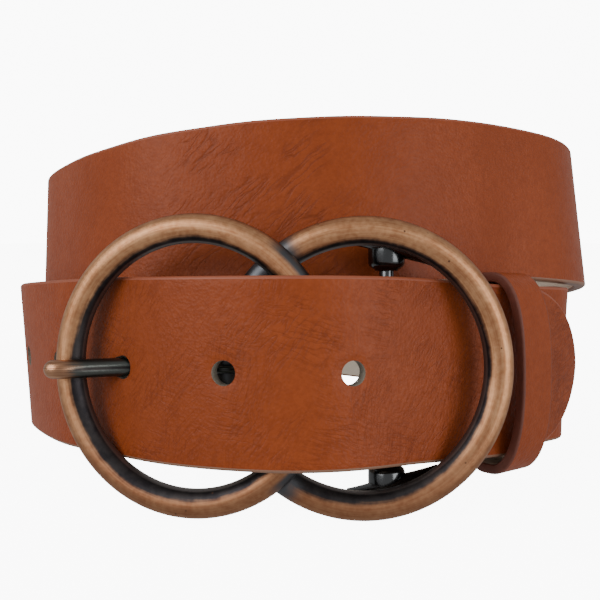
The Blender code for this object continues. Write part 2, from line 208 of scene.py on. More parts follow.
# The strap's run. turn: degrees round the coil from the front. under: leathers
# outside this one. reach: outermost face from the axis, in coil radii. rise:
# height in strap widths. lean: how far the top edge leans in, degrees.
Stop = namedtuple("Stop", "turn under reach rise lean")
RUN = [
    Stop(*row)
    for row in (
        (72, 1, 0.9910, -0.038, -7),
        (90, 1, 1.0010, -0.030, -8),
        (110, 1, 1.0170, -0.028, -7),
        (140, 1, 1.0280, 0.000, 0),
        (172, 1, 1.0260, 0.082, 1),
        (205, 1, 1.0200, 0.290, 2),
        (240, 1, 1.0140, 0.560, 2),
        (270, 1, 1.0020, 0.720, 1.5),
        (285, 1, 0.9840, 0.755, 1.5),
        (297, 1, 0.9450, 0.780, 1.5),
        (309, 1, 0.9280, 0.795, 1.5),
        (321, 1, 0.9180, 0.815, 2),
        (331, 1, 0.8960, 0.850, 2.5),
        (340, 3, 0.9570, 0.880, 3),
        (349, 3, 0.9380, 0.907, 3),
        (360, 3, 0.9260, 0.929, 3),
        (372, 3, 0.9310, 0.947, 3.5),
        (383, 3, 0.9400, 0.960, 4),
        (393, 3, 0.9470, 0.978, 4),
        (402, 3, 0.9640, 0.990, 4.5),
        (409.5, 3, 0.9870, 0.997, 4.5),
        (417, 3, 1.0350, 0.992, 5),
        (424, 3, 1.0890, 0.982, 5),
        (432, 3, 1.1390, 0.970, 5.5),
        (443, 1, 1.0890, 0.950, 6),
        (455, 1, 1.1090, 0.912, 6),
        (475, 1, 1.1080, 0.850, 5),
        (510, 1, 1.0960, 0.700, 3),
        (545, 0, 1.0450, 0.470, 2),
        (580, 0, 1.0400, 0.200, 1),
        (604, 0, 1.0340, 0.020, 0),
        (622, 0, 1.0270, -0.060, -1),
        (637, 0, 1.0155, -0.045, -3),
        (652, 0, 0.9980, -0.016, -4.5),
        (664, 0, 0.9810, -0.010, -2.5),
        (676, 0, 0.9840, -0.005, -1.0),
        (687, 0, 0.9865, 0, 0),
        (698, 0, 1.0165, 0, 0),
        (709, 0, 1.0400, 0, 0),
        (719, 0, 1.0515, 0, 0),
        (727, 0, 1.0390, 0, 0),
        (738, 0, 0.9890, -0.006, 0),
        (749, 0, 0.9630, -0.026, 0),
        (759, 0, 0.9640, -0.040, 0),
        (770, 0, 0.9850, -0.043, 0),
        (780, 0, 1.0240, -0.048, -1),
    )
]


class Field:
    """A shader value that takes Python arithmetic.

    Each method adds one node to the tree and gives back its output."""

    def __init__(self, tree, socket):
        self.tree = tree
        self.socket = socket

    def node(self, kind, settings=(), inputs=(), output=0):
        """A node with its settings, then its sockets' values or links."""
        made = self.tree.nodes.new(kind)
        for name, value in dict(settings).items():
            setattr(made, name, value)
        for name, value in dict(inputs).items():
            socket = made.inputs[name]
            if isinstance(value, Field):
                self.tree.links.new(value.socket, socket)
            else:
                socket.default_value = value
        return Field(self.tree, made.outputs[output])

    def math(self, operation, *values):
        settings = {"operation": operation}
        return self.node("ShaderNodeMath", settings, dict(enumerate(values)))

    def __add__(self, other):
        return self.math("ADD", self, other)

    def __sub__(self, other):
        return self.math("SUBTRACT", self, other)

    def __rsub__(self, other):
        return self.math("SUBTRACT", other, self)

    def __mul__(self, other):
        return self.math("MULTIPLY", self, other)

    __radd__ = __add__
    __rmul__ = __mul__

    def between(self, low, high):
        """0 up to low, 1 from high on, smooth between; high may be lower."""
        return self.node(
            "ShaderNodeMapRange",
            {"interpolation_type": "SMOOTHSTEP"},
            {"Value": self, "From Min": low, "From Max": high},
        )

    def part(self, axis):
        """One of a vector's three numbers."""
        return self.node("ShaderNodeSeparateXYZ", (), {"Vector": self}, axis)

    def turned(self, degrees):
        return self.node(
            "ShaderNodeVectorRotate",
            {"rotation_type": "Z_AXIS"},
            {"Vector": self, "Angle": math.radians(degrees)},
        )

    def scaled(self, scale, shift=(0, 0, 0)):
        return self.node(
            "ShaderNodeVectorMath",
            {"operation": "MULTIPLY_ADD"},
            {0: self, 1: scale, 2: shift},
        )

    def vector(self, x, y, z):
        return self.node("ShaderNodeCombineXYZ", (), {0: x, 1: y, 2: z})

    def size(self):
        return self.math("ABSOLUTE", self)

    def at_least(self, other):
        return self.math("MAXIMUM", self, other)

    def at_most(self, other):
        return self.math("MINIMUM", self, other)

    def noise(self, scale, detail=2.0, roughness=0.5, distortion=0.0):
        return self.node(
            "ShaderNodeTexNoise",
            (),
            {
                "Vector": self,
                "Scale": scale,
                "Detail": detail,
                "Roughness": roughness,
                "Distortion": distortion,
            },
        )

    def cells(self, scale):
        inputs = {"Vector": self, "Scale": scale}
        return self.node("ShaderNodeTexVoronoi", (), inputs)

    def paint(self, first, second):
        """Colour going from first to second as this value goes from 0 to 1."""
        return self.node(
            "ShaderNodeMix",
            {"data_type": "RGBA"},
            {0: self, 6: as_colour(first), 7: as_colour(second)},
            2,
        )

    def bump(self, strength, distance, below=None):
        """This value as relief, on top of the relief below it."""
        inputs = {"Height": self, "Strength": strength, "Distance": distance}
        if below:
            inputs["Normal"] = below
        return self.node("ShaderNodeBump", (), inputs)


def as_colour(value):
    return value if isinstance(value, Field) else (*value, 1)


def start_finish(name):
    """A new material with its shader, its start field and its object place."""
    made = bpy.data.materials.new(name)
    made.use_nodes = True
    tree = made.node_tree
    start = Field(tree, None)
    place = start.node("ShaderNodeTexCoord", output=3)
    return made, tree, start, place


def set_finish(tree, **values):
    """Sets or links the shader's sockets; a name's _ stands for a space."""
    shader = tree.nodes["Principled BSDF"]
    for name, value in values.items():
        socket = shader.inputs[name.replace("_", " ")]
        if isinstance(value, Field):
            tree.links.new(value.socket, socket)
        elif isinstance(value, tuple):
            socket.default_value = (*value, 1)
        else:
            socket.default_value = value


def unit(vectors):
    return vectors / np.linalg.norm(vectors, axis=-1, keepdims=True)


def spline(knots, values):
    """Natural cubic through the knots, as a function of arrays."""
    knots = np.asarray(knots, float)
    values = np.asarray(values, float)
    count = len(knots)
    step = np.diff(knots)
    system = np.eye(count)
    right = np.zeros(count)
    for i in range(1, count - 1):
        system[i, i - 1 : i + 2] = step[i - 1], 2 * (step[i - 1] + step[i]), step[i]
        slopes = np.diff(values)[i - 1 : i + 1] / step[i - 1 : i + 1]
        right[i] = 6 * (slopes[1] - slopes[0])
    bend = np.linalg.solve(system, right)

    def at(places):
        places = np.asarray(places, float)
        i = np.clip(np.searchsorted(knots, places) - 1, 0, count - 2)
        before = knots[i + 1] - places
        after = places - knots[i]
        return (
            (bend[i] * before**3 + bend[i + 1] * after**3) / (6 * step[i])
            + (values[i] / step[i] - bend[i] * step[i] / 6) * before
            + (values[i + 1] / step[i] - bend[i + 1] * step[i] / 6) * after
        )

    return at


def plan(turns, reach):
    angle = np.radians(turns)
    return np.stack((reach * np.sin(angle), FRONT - reach * np.cos(angle)), -1)


turn_knots = np.array([stop.turn for stop in RUN], float)
reach_knots = np.array([COIL_RADIUS * s.reach - s.under * LAYER for s in RUN])
rise_knots = np.array([STRAP_WIDTH * stop.rise for stop in RUN])
lean_knots = np.array([stop.lean for stop in RUN], float)

# Under the tongue the strap keeps one layer inside it, from the bar on.
shadow = np.arange(BAR_TURN - 1, RUN[-1].turn - TWO_TURNS, 0.5) + TWO_TURNS
reach_at = spline(turn_knots, reach_knots)
cover = plan(shadow, reach_at(shadow))
heading = unit(np.gradient(cover, axis=0))
inward = np.stack((-heading[:, 1], heading[:, 0]), -1)
under_cover = cover + LAYER * inward - (0, FRONT)
under_turn = np.degrees(np.arctan2(under_cover[:, 0], -under_cover[:, 1]))
under_reach = np.linalg.norm(under_cover, axis=1)
first = np.linspace(BAR_TURN, under_turn[-1], 13)
rise_first = spline(turn_knots, rise_knots)(first + TWO_TURNS)
lean_first = spline(turn_knots, lean_knots)(first + TWO_TURNS)
turn_knots = np.concatenate((first, turn_knots))
reach_first = np.interp(first, under_turn, under_reach)
reach_at = spline(turn_knots, np.concatenate((reach_first, reach_knots)))
rise_at = spline(turn_knots, np.concatenate((rise_first, rise_knots)))
lean_at = spline(turn_knots, np.concatenate((lean_first, lean_knots)))


def run_frame(turns):
    """Middle points of the run with their outward and upward directions."""
    level = plan(turns, reach_at(turns))
    heading = unit(np.gradient(level, axis=0))
    level -= STRAP_THICKNESS / 2 * np.stack((heading[:, 1], -heading[:, 0]), -1)
    middle = np.column_stack((level, rise_at(turns)))
    along = unit(np.gradient(middle, axis=0))
    outward = unit(np.cross(along, (0, 0, 1)))
    upward = np.cross(outward, along)
    lean = np.radians(lean_at(turns))[:, None]
    return (
        middle,
        outward * np.cos(lean) + upward * np.sin(lean),
        upward * np.cos(lean) - outward * np.sin(lean),
    )


fine = np.arange(BAR_TURN, RUN[-1].turn + 0.01, RUN_STEP)
middle, outward, upward = run_frame(fine)
steps = np.linalg.norm(np.diff(middle, axis=0), axis=1)
travel = np.concatenate(([0], np.cumsum(steps)))
length = travel[-1]
flat_out = unit(outward[0] * (1, 1, 0))
flat_along = np.cross((0, 0, 1), flat_out)
bar_at = middle[0] - flat_out * LOOP
bar_at[2] = 0


def pick(values, places):
    return np.stack([np.interp(places, travel, values[:, k]) for k in range(3)], -1)


bar_low, bar_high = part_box("buckle_bar")
lean_back = Matrix.Rotation(-BACK_TILT, 4, "X")
bar_middle = (bar_low + bar_high) / 2
stand = Matrix.Translation(bar_middle - lean_back @ Vector(bar_at)) @ lean_back


def grid_mesh(name, rows, maps, closed=(True, False), caps=()):
    """Mesh from rows of points; closed says if a row, and the rows, close up.

    maps gives for each UV map a pair of values for every point, in the same
    rows; caps names the row ends to close with one face."""
    rows = np.asarray(rows, float)
    count, sides = rows.shape[:2]
    i = np.arange(count if closed[1] else count - 1)[:, None]
    j = np.arange(sides if closed[0] else sides - 1)[None, :]
    i_next = (i + 1) % count
    j_next = (j + 1) % sides
    corner_rows = np.stack(np.broadcast_arrays(i, i, i_next, i_next), -1)
    corner_cols = np.stack(np.broadcast_arrays(j, j_next, j_next, j), -1)
    faces = (corner_rows * sides + corner_cols).reshape(-1, 4)
    made_faces = faces.tolist()
    if "first" in caps:
        made_faces.append(list(range(sides))[::-1])
    if "last" in caps:
        made_faces.append(list(range((count - 1) * sides, count * sides)))
    mesh = bpy.data.meshes.new(name)
    mesh.from_pydata(rows.reshape(-1, 3).tolist(), [], made_faces)
    loops = np.empty(len(mesh.loops), np.int32)
    mesh.loops.foreach_get("vertex_index", loops)
    for map_name, values in maps.items():
        layer = mesh.uv_layers.new(name=map_name)
        flat = np.asarray(values, np.float32).reshape(-1, 2)
        layer.uv.foreach_set("vector", flat[loops].ravel())
    mesh.shade_smooth()
    return mesh


def add_object(name, data):
    made = bpy.data.objects.new(name, data)
    bpy.context.scene.collection.objects.link(made)
    return made


def place_piece(name, mesh, materials, *replaced):
    """A piece of the belt that stands for the solids named."""
    made = add_object(name, mesh)
    for finish in materials:
        mesh.materials.append(finish)
    mesh.transform(stand)
    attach(made, "root")
    if replaced:
        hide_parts(*replaced)
    return made


def tool(name, mesh, finish=None):
    """A cutter or a part to be joined, removed once it is used."""
    made = add_object(name, mesh)
    mesh.transform(stand)
    if finish:
        mesh.materials.append(finish)
    return made


def shape_with(made, operation, others, sharp=35):
    """Applies Booleans with the others, then removes them."""
    for other in others:
        step = made.modifiers.new(other.name, "BOOLEAN")
        step.operation = operation
        step.solver = "EXACT"
        step.material_mode = "TRANSFER"
        step.object = other
    bpy.context.view_layer.update()
    graph = bpy.context.evaluated_depsgraph_get()
    shaped = bpy.data.meshes.new_from_object(made.evaluated_get(graph))
    made.modifiers.clear()
    made.data = shaped
    for other in others:
        bpy.data.objects.remove(other)
    shaped.shade_smooth()
    shaped.set_sharp_from_angle(angle=math.radians(sharp))
    return made


def rod_rows(path, radii, sides, ring=False, start=(0, 0, 1)):
    """Rows of points round a path, with a radius for each row."""
    path = np.asarray(path, float)
    if ring:
        along = unit(np.roll(path, -1, 0) - np.roll(path, 1, 0))
    else:
        along = unit(np.gradient(path, axis=0))
    first = unit(np.cross(along, start))
    second = np.cross(along, first)
    angle = np.arange(sides) * 2 * math.pi / sides
    radii = np.broadcast_to(radii, len(path))[:, None, None]
    spokes = np.cos(angle)[:, None] * first[:, None, :]
    spokes = spokes + np.sin(angle)[:, None] * second[:, None, :]
    return path[:, None, :] + radii * spokes, angle


def rod_mesh(name, path, radii, sides, start=(0, 0, 1)):
    """A rod along the path, closed at both ends."""
    rows, _ = rod_rows(path, radii, sides, start=start)
    return grid_mesh(name, rows, {}, caps=("first", "last"))


def rod_tool(name, path, radii, sides, finish, start=(0, 0, 1)):
    return tool(name, rod_mesh(name, path, radii, sides, start), finish)


# The finishes of leather and metal. Their shares and limits were set render by render,
# against the photo.
# Strained leather lies over the front of the upper turn; the tongue comes last.
strained_from, strained_to = np.interp((335, 368), fine, travel)
tongue_from = np.interp(672, fine, travel)


def creases(at, turn, long, short, seed, thin):
    """Thin lines that run at an angle to the belt: 1 in them, 0 beside them."""
    run = at.turned(-turn).scaled((1 / long, 1 / short, 1), (0, 0, seed))
    lines = run.noise(1.0, 2.0, 0.5, 0.5) - 0.5
    return (1 - lines.size() * thin).at_least(0)


def patched(at, around, kind):
    """Creases of one kind, which come and go in soft patches."""
    lines = creases(at, kind.turn, kind.long, kind.short, kind.seed, kind.thin)
    spread = around.scaled((1, 1, 1), (0, 0, kind.mix)).noise(kind.patch, 1.0)
    return lines * spread.between(kind.low, kind.high) * kind.share


# Tan leather: fine pebble and pores, with creases in three directions.
leather, tree, start, place = start_finish("tan_grain_leather")
belt_at = start.node("ShaderNodeUVMap", {"uv_map": "belt_at"})
run_at = belt_at.part(0)
pores = place.cells(PORES)
pebble = place.noise(PEBBLES, 3, 0.55)
back_run = run_at.between(strained_from - 0.006, strained_from + 0.006)
back_run = back_run * run_at.between(strained_to + 0.010, strained_to - 0.004)
tongue_run = run_at.between(tongue_from - 0.01, tongue_from + 0.01)
bend_along = (place.noise(150, 2) - 0.5) * 0.0018
bend_across = (place.noise(190, 2) - 0.5) * 0.0018
bent = start.vector(run_at + bend_along, belt_at.part(1) + bend_across, 0)
net = sum(patched(bent, place, kind) for kind in NET)
net = net * (tongue_run * 0.6 + 0.25)
crimps = creases(belt_at, 15, 0.005, 0.0013, 21.0, 9)
crimps = crimps * run_at.between(length - 0.014, length - 0.009)
wrinkle = patched(bent, place, STRAIN) * back_run + net + crimps
cloudy = place.noise(30, 3, 0.6)
mottled = place.noise(420, 3, 0.6)
tan = cloudy.between(0.3, 0.7).paint(*TAN)
tan = (mottled.between(0.35, 0.75) * 0.35).paint(tan, TAN_MOTTLE)
tan = (pebble.between(0.40, 0.62) * 0.22).paint(tan, TAN_PEBBLE)
# The creases are painted darker: painted shade in them.
shade = wrinkle * 0.42
tan = shade.at_most(0.6).paint(tan, TAN_CREASE_SHADE)
grain = (pores * 0.5 + pebble * 0.6).bump(0.46, 0.00030)
grain = (wrinkle * -1).bump(0.26, 0.00030, grain)
set_finish(
    tree,
    Base_Color=tan,
    Roughness=mottled * 0.15 + 0.38,
    Normal=grain,
    Specular_IOR_Level=0.17,
)

# Cut edges: painted above and at the tip, rubbed bare below. The painted colour is
# lighter than the tan face, which adds a painted highlight along the edge.
edge_paint, tree, start, place = start_finish("edge_paint")
streak = place.scaled((120, 120, 900)).noise(1.0, 3)
belt_at = start.node("ShaderNodeUVMap", {"uv_map": "belt_at"})
upper = belt_at.part(1).between(-0.001, 0.001)
at_tip = belt_at.part(0).between(length - 0.030, length - 0.022)
upper = upper.at_least(at_tip)
painted = streak.paint(*EDGE_PAINT_AND_HIGHLIGHT)
raw = streak.paint(*RAW_EDGE)
set_finish(
    tree,
    Base_Color=upper.paint(raw, painted),
    Roughness=0.55,
    Normal=place.noise(PEBBLES, 2).bump(0.2, 0.0002),
)

# The keeper's cut edge, dark brown: painted shade on the edge.
keeper_edge, tree, _, place = start_finish("keeper_cut_edge")
fibre = place.noise(800, 3)
set_finish(
    tree,
    Base_Color=fibre.paint(*KEEPER_EDGE_SHADE),
    Roughness=0.65,
    Normal=fibre.bump(0.3, 0.0002),
)

# Pale suede inside the belt.
lining, tree, _, place = start_finish("lining_suede")
nap = place.noise(PEBBLES, 4, 0.7)
set_finish(
    tree,
    Base_Color=nap.paint(*SUEDE),
    Roughness=0.85,
    Normal=nap.bump(0.5, 0.0003),
)

# Bare fibre in the punched holes.
hole_wall, tree, _, place = start_finish("punched_wall")
fibre = place.noise(1400, 3)
set_finish(
    tree,
    Base_Color=fibre.paint(*FIBRE),
    Roughness=0.8,
    Normal=fibre.bump(0.4, 0.0002),
)

# Copper rubbed bare in front over a dark metal, streaked along the wire.
copper, tree, start, place = start_finish("antique_copper")
facing = start.node("ShaderNodeUVMap", {"uv_map": "facing"})
round_ring = start.node("ShaderNodeUVMap", {"uv_map": "round_ring"})
right_side = start.node("ShaderNodeUVMap", {"uv_map": "ring_side"}).part(0)
outer = facing.part(0)
front = facing.part(1)
rightward = round_ring.part(0)
upward_part = round_ring.part(1)
worn = place.noise(260, 3, 0.6)
brushed = start.vector(outer * 7, front * 7, rightward * 2.2 + upward_part * 1.3)
brushed = brushed.noise(1.0, 3, 0.6)
bared = outer * 0.9 + front * 0.45 + upward_part * 0.14 + rightward * 0.28
bared = bared + upward_part.at_least(0) * (rightward * -1).at_least(0) * 0.5
bared = (bared + (worn - 0.5) * 0.35 + (brushed - 0.5) * 0.25).between(-0.22, 0.14)
speckled = place.noise(1100, 2)
polished = (brushed * 0.45 + worn * 0.40 + speckled * 0.30).between(0.36, 0.80)
brown = polished.paint(*COPPER)
# The rings get darker towards the bottom: painted shade.
low = upward_part.between(-0.1, -0.9) * 0.5
brown = low.paint(brown, COPPER_LOW_SHADE)
back_edge = (front * 0.8 - outer * 0.25 + (worn - 0.5) * 0.3).between(-0.30, -0.05)
brown = back_edge.paint(COPPER_BACK, brown)
dark = worn.between(0.3, 0.7).paint(*DARK_METAL)
dark = outer.between(-0.84, -0.93).paint(dark, INNER_GLINT)
metal = bared.paint(dark, brown)
behind = right_side * (rightward + (worn - 0.5) * 0.10).between(-0.43, -0.57)
metal = behind.paint(metal, GUNMETAL)
deeper = right_side * rightward.between(-0.70, -0.80)
metal = (deeper * front.between(0.9, 0.5)).paint(metal, SHADED_METAL)
shoulder = (1 - right_side) * rightward.between(0.52, 0.66)
metal = (shoulder * outer.between(0.15, 0.55)).paint(metal, SHOULDER_METAL)
outline = outer.between(0.88, 0.97) * 0.6
metal = outline.paint(metal, RING_OUTLINE)
speck = place.cells(420).between(0.12, 0.06) * place.noise(90, 1).between(0.50, 0.60)
metal = speck.paint(metal, RING_SPECK)
set_finish(
    tree,
    Base_Color=metal,
    Metallic=1.0,
    Roughness=worn * 0.16 + 0.39,
    Normal=(brushed * 0.5 + place.noise(METAL_GRAIN, 3) * 0.5).bump(0.14, 0.0002),
)

# Black plating on the bar, lugs and collars.
black_metal, tree, _, place = start_finish("black_plated")
set_finish(
    tree,
    Base_Color=place.noise(200, 2).paint(*BLACK_PLATE),
    Metallic=1.0,
    Roughness=place.noise(300, 2) * 0.12 + 0.14,
    Normal=place.noise(260, 2).bump(0.08, 0.0003),
)

# Dark metal with a copper nose, and painted shade as a darker line in its groove.
prong_metal, tree, start, place = start_finish("prong_copper")
prong_at = start.node("ShaderNodeUVMap", {"uv_map": "prong_at"})
share = prong_at.part(0)
height = prong_at.part(1)
worn = place.noise(260, 3, 0.6)
drawn = start.vector(share * 3, height * 6, 0).noise(1.0, 3, 0.6)
bare = (share + (worn - 0.5) * 0.12 + (drawn - 0.5) * 0.12).between(0.87, 1.0)
brown = drawn.between(0.3, 0.7).paint(*PRONG_COPPER)
tone = bare.paint(PRONG_METAL, brown)
groove_shade = height.size().between(0.30, 0.05) * (1 - bare)
tone = groove_shade.paint(tone, PRONG_GROOVE_SHADE)
tone = (worn.between(0.35, 0.7) * 0.3).paint(tone, PRONG_WORN)
set_finish(
    tree,
    Base_Color=tone,
    Metallic=1.0,
    Roughness=worn * 0.15 + 0.26,
    Normal=place.noise(METAL_GRAIN, 3).bump(0.12, 0.0002),
)

# The strap: fold, loop round the bar, two turns and the tongue.
closing = np.append(np.linspace(1, 0.6, 9), np.linspace(0.58, 0.05, 22))
fold_places = closing * FOLD_LENGTH
ease = 0.5 + 0.5 * np.cos(math.pi * np.clip(2 * closing - 0.1, 0, 1))
inset = LAYER + (2 * LOOP - LAYER) * ease
fold_middle = pick(middle, fold_places) - pick(outward, fold_places) * inset[:, None]
around = np.radians(np.linspace(-90, 90, 25))[:, None]
loop_middle = middle[0] + LOOP * (
    flat_out * (np.sin(around) - 1) - flat_along * np.cos(around)
)
tip_rows = np.sin(np.radians(np.linspace(2, 88, TIP_ROWS)))
main_places = np.concatenate(
    (
        np.arange(ROW_STEP, length - TIP_LENGTH, ROW_STEP),
        length - TIP_LENGTH + TIP_LENGTH * tip_rows,
    )
)
row_middle = np.concatenate((fold_middle, loop_middle, pick(middle, main_places)))
row_along = unit(np.gradient(row_middle, axis=0))
blend = np.clip(main_places / FOLD_LENGTH, 0, 1)[:, None]
main_up = unit((1 - blend) * (0, 0, 1) + blend * pick(upward, main_places))
folded = len(fold_middle) + len(loop_middle)
row_up = np.concatenate((np.tile((0, 0, 1), (folded, 1)), main_up))
row_out = unit(np.cross(row_along, row_up))
tip_share = np.clip((length - main_places) / TIP_LENGTH, 0, 1)
row_half = np.full(len(row_middle), HALF_WIDTH)
row_half[folded:] = HALF_WIDTH * np.sqrt(1 - (1 - tip_share) ** 2)
row_place = np.concatenate((np.linspace(FOLD_GRAIN_FROM, 0, folded), main_places))

# Columns lie closer together towards the middle, where the holes are.
columns = np.linspace(-1, 1, STRAP_COLUMNS)
columns = 0.35 * columns + 0.65 * np.sign(columns) * np.abs(columns) ** 1.6
round_edge = np.radians(np.linspace(0, 180, EDGE_POINTS))[1:-1]


def strap_rows():
    """Rows of points round the strap's section, with their places on it."""
    edge = np.minimum(EDGE_RADIUS, 0.4 * row_half)
    flat = (row_half - edge)[:, None]
    thick = STRAP_THICKNESS / 2
    lip = edge[:, None]
    across = [flat * columns[::-1]]
    out = [np.full((len(row_half), len(columns)), thick)]
    down = np.cos(round_edge)
    across.append(-flat - lip * np.sin(round_edge))
    out.append(np.sign(down) * (thick - lip + lip * np.abs(down)))
    across.append(flat * columns[::2])
    out.append(np.full((len(row_half), len(columns[::2])), -thick))
    across.append(flat + lip * np.sin(round_edge))
    out.append(-np.sign(down) * (thick - lip + lip * np.abs(down)))
    return np.concatenate(across, 1), np.concatenate(out, 1)


across, out = strap_rows()
left_x = -LEFT_RING_OFFSET
rim_x = left_x - RING * LEFT_RING_SQUEEZE
front_part = np.abs(fine - TWO_TURNS) < 45
front_x = middle[front_part, 0]
prong_place = np.interp(rim_x + RIM_TO_HOLE, front_x, travel[front_part])
hole_places = [prong_place + (HOLES_TO_TIP - k) * HOLE_PITCH for k in range(HOLE_COUNT)]
places = np.broadcast_to(row_place[:, None], across.shape)
faces_out = out > STRAP_THICKNESS / 2 - 1e-6
for hole in hole_places:
    away = np.hypot(places - hole, across) - HOLE_DIAMETER / 2
    dent = DENT_DEPTH * np.exp(-((np.maximum(away, 0) / DENT_REACH) ** 2))
    out = out - dent * faces_out
points = (
    row_middle[:, None, :]
    + across[..., None] * row_up[:, None, :]
    + out[..., None] * row_out[:, None, :]
)
points = points[:, ::-1]
mesh = grid_mesh(
    "strap",
    points,
    {"belt_at": np.stack((places, across), -1)[:, ::-1]},
    caps=("first", "last"),
)
n_out = len(columns)
n_edge = len(round_edge)
n_in = len(columns[::2])
edge_band = np.ones(n_edge + 1)
section = (np.zeros(n_out - 1), edge_band, np.full(n_in - 1, 2), edge_band)
section = np.roll(np.concatenate(section)[::-1], -1)
finish_of = np.append(np.tile(section, len(points) - 1), [1, 1]).astype(np.int32)
strap_finishes = (leather, edge_paint, lining, hole_wall)
strap = place_piece("leather_strap", mesh, strap_finishes, "strap")
mesh.polygons.foreach_set("material_index", finish_of)

cutters = []
for k, hole in enumerate(hole_places):
    centre = pick(middle, [hole])[0]
    hole_out = unit(pick(outward, [hole]))[0]
    bite = 1.5 * STRAP_THICKNESS * hole_out
    ends = (centre - bite, centre + bite)
    radius = HOLE_DIAMETER / 2
    cutters.append(rod_tool(f"punch_{k + 1}", ends, radius, PUNCH_SIDES, hole_wall))

# The buckle: two rings, with lugs and collars for the bar.
inner_x = left_x + RING * LEFT_RING_SQUEEZE
front_turns = np.arange(-20, 25, 0.5) + TWO_TURNS
front_face = plan(front_turns, reach_at(front_turns))
tongue_depth = np.interp(inner_x, front_face[:, 0], front_face[:, 1])


def bow(x):
    """How far the buckle's sheet bends back at x."""
    return (x - BUCKLE_BEND_OFFSET) ** 2 / (2 * BUCKLE_BEND_RADIUS)


def sheet(x):
    """Depth of the wires' middle at x, in front of the strap they press on."""
    return tongue_depth + STRAP_THICKNESS + GAP + WIRE + bow(x) - bow(inner_x)


Ring = namedtuple("Ring", "x z squeeze step")
LEFT = Ring(left_x, LEFT_RING_RISE, LEFT_RING_SQUEEZE, 0)
RIGHT = Ring(left_x + RING_SPACING, RIGHT_RING_RISE, 1, RING_STEP)


def ring_path(ring, radius, angles):
    x = ring.x + radius * ring.squeeze * np.cos(angles)
    return np.stack((x, sheet(x) + ring.step, ring.z + radius * np.sin(angles)), -1)


whole = np.arange(RING_STEPS) * 2 * math.pi / RING_STEPS


def ring_mesh(name, ring, turned):
    """A wire ring, begun turned radians on, with its places for the finish."""
    around = whole + turned
    path = ring_path(ring, RING, around)
    rows, _ = rod_rows(path, WIRE, RING_SIDES, True, FORWARD)
    spoke = (rows - path[:, None, :]) / WIRE
    radial = np.stack((np.cos(around), 0 * around, np.sin(around)), -1)
    radial = radial[:, None, :]
    facing = np.stack(((spoke * radial).sum(-1), -spoke[..., 1]), -1)
    inner_side = np.maximum(-facing[..., :1], 0)
    rows = rows - radial * INNER_SWELL * inner_side
    turn = np.broadcast_to(radial[..., [0, 2]], facing.shape)
    side = np.full(facing.shape, float(ring is RIGHT))
    maps = {"facing": facing, "round_ring": turn, "ring_side": side}
    return grid_mesh(name, rows, maps, (True, True))


rings = ring_mesh("rings", LEFT, 0)
buckle = place_piece("buckle_rings", rings, (copper, black_metal), "buckle_frame")
joined = [tool("right_ring", ring_mesh("right_ring", RIGHT, 0.01), copper)]
bores = []
inner = math.sqrt((RING - WIRE) ** 2 - (bar_at[0] - RIGHT.x) ** 2)
spread = np.radians(np.linspace(LUG_FROM, LUG_TO, LUG_STEPS))
swell = np.sin(np.linspace(0.25, math.pi - 0.25, LUG_STEPS))
for side, name in ((1, "top"), (-1, "bottom")):
    lug_path = ring_path(RIGHT, RING - LUG_INSET * WIRE, spread * side)
    depth = bar_at[1] - sheet(RIGHT.x) - RING_STEP
    lug_path[:, 1] = bar_at[1] - LUG_BACK * depth
    lug_sizes = WIRE * (LUG_THIN + LUG_SWELL * swell)
    lug = (f"{name}_lug", lug_path, lug_sizes, LUG_SIDES)
    joined.append(rod_tool(*lug, black_metal, FORWARD))
    collar_path = np.tile(bar_at, (len(COLLAR_LEVELS), 1))
    collar_path[:, 2] = side * (inner + WIRE * np.array(COLLAR_LEVELS))
    collar_radii = COLLAR_DIAMETER / 2 * np.array(COLLAR_SIZES)
    collar = (f"{name}_collar", collar_path, collar_radii, COLLAR_SIDES)
    joined.append(rod_tool(*collar, black_metal, FORWARD))
    bore_path = np.tile(bar_at, (2, 1))
    bore_path[:, 2] = side * np.array([inner - 2 * WIRE, inner])
    bore_radius = (BAR_DIAMETER + GAP) / 2
    bore = (f"{name}_bore", bore_path, bore_radius, BAR_SIDES)
    bores.append(rod_tool(*bore, black_metal, FORWARD))
shape_with(buckle, "UNION", joined)
shape_with(buckle, "DIFFERENCE", bores)

bar_path = np.tile(bar_at, (len(BAR_LEVELS), 1))
bar_path[:, 2] = np.array(BAR_LEVELS) * (inner - GAP / 2)
bar_radii = BAR_DIAMETER / 2 * np.array(BAR_SIZES)
bar_mesh = rod_mesh("bar", bar_path, bar_radii, BAR_SIDES, FORWARD)
bar = place_piece("cross_bar", bar_mesh, (black_metal,), "buckle_bar")
bar_mesh.set_sharp_from_angle(angle=math.radians(40))

# The prong: open eye, straight shank through the hole, round nose.
hinge = ring_path(RIGHT, RING, np.array([math.pi]))[0]
rim = ring_path(LEFT, RING, np.array([math.pi]))[0]
eye_radius = WIRE + GAP + PRONG * PRONG_EYE_SHARE
eye_turn = np.radians(np.linspace(EYE_FROM, EYE_TO, PRONG_STEPS))
eye_spoke = np.stack((np.cos(eye_turn), -np.sin(eye_turn), 0 * eye_turn), -1)
eye = hinge + eye_radius * eye_spoke
seat = rim - (0, WIRE + 2 * GAP + PRONG, 0)
emerge_place = prong_place + 0.1 * HOLE_DIAMETER
emerge = pick(middle, [emerge_place])[0]
emerge_out = unit(pick(outward, [emerge_place]))[0]
through = emerge + emerge_out * (0.35 * STRAP_THICKNESS - PRONG)
through[2] = 0
to_through = through - eye[-1]
knots = [0, 0.3, 0.62, 1, 1.14]
shank_x = [
    eye[-1][0],
    eye[-1][0] + 0.45 * to_through[0],
    through[0],
    seat[0],
    rim[0] - 0.62 * WIRE,
]
shank_y = [
    eye[-1][1],
    eye[-1][1] + 0.78 * to_through[1],
    through[1],
    seat[1],
    seat[1] + 0.02 * WIRE,
]
shank_share = np.linspace(0.06, 1.14, PRONG_STEPS)
shank_at = [spline(knots, values)(shank_share) for values in (shank_x, shank_y)]
shank = np.stack((*shank_at, 0 * shank_share), -1)
nose_turn = np.radians([12, 25, 38, 50, 62, 72, 80, 86])
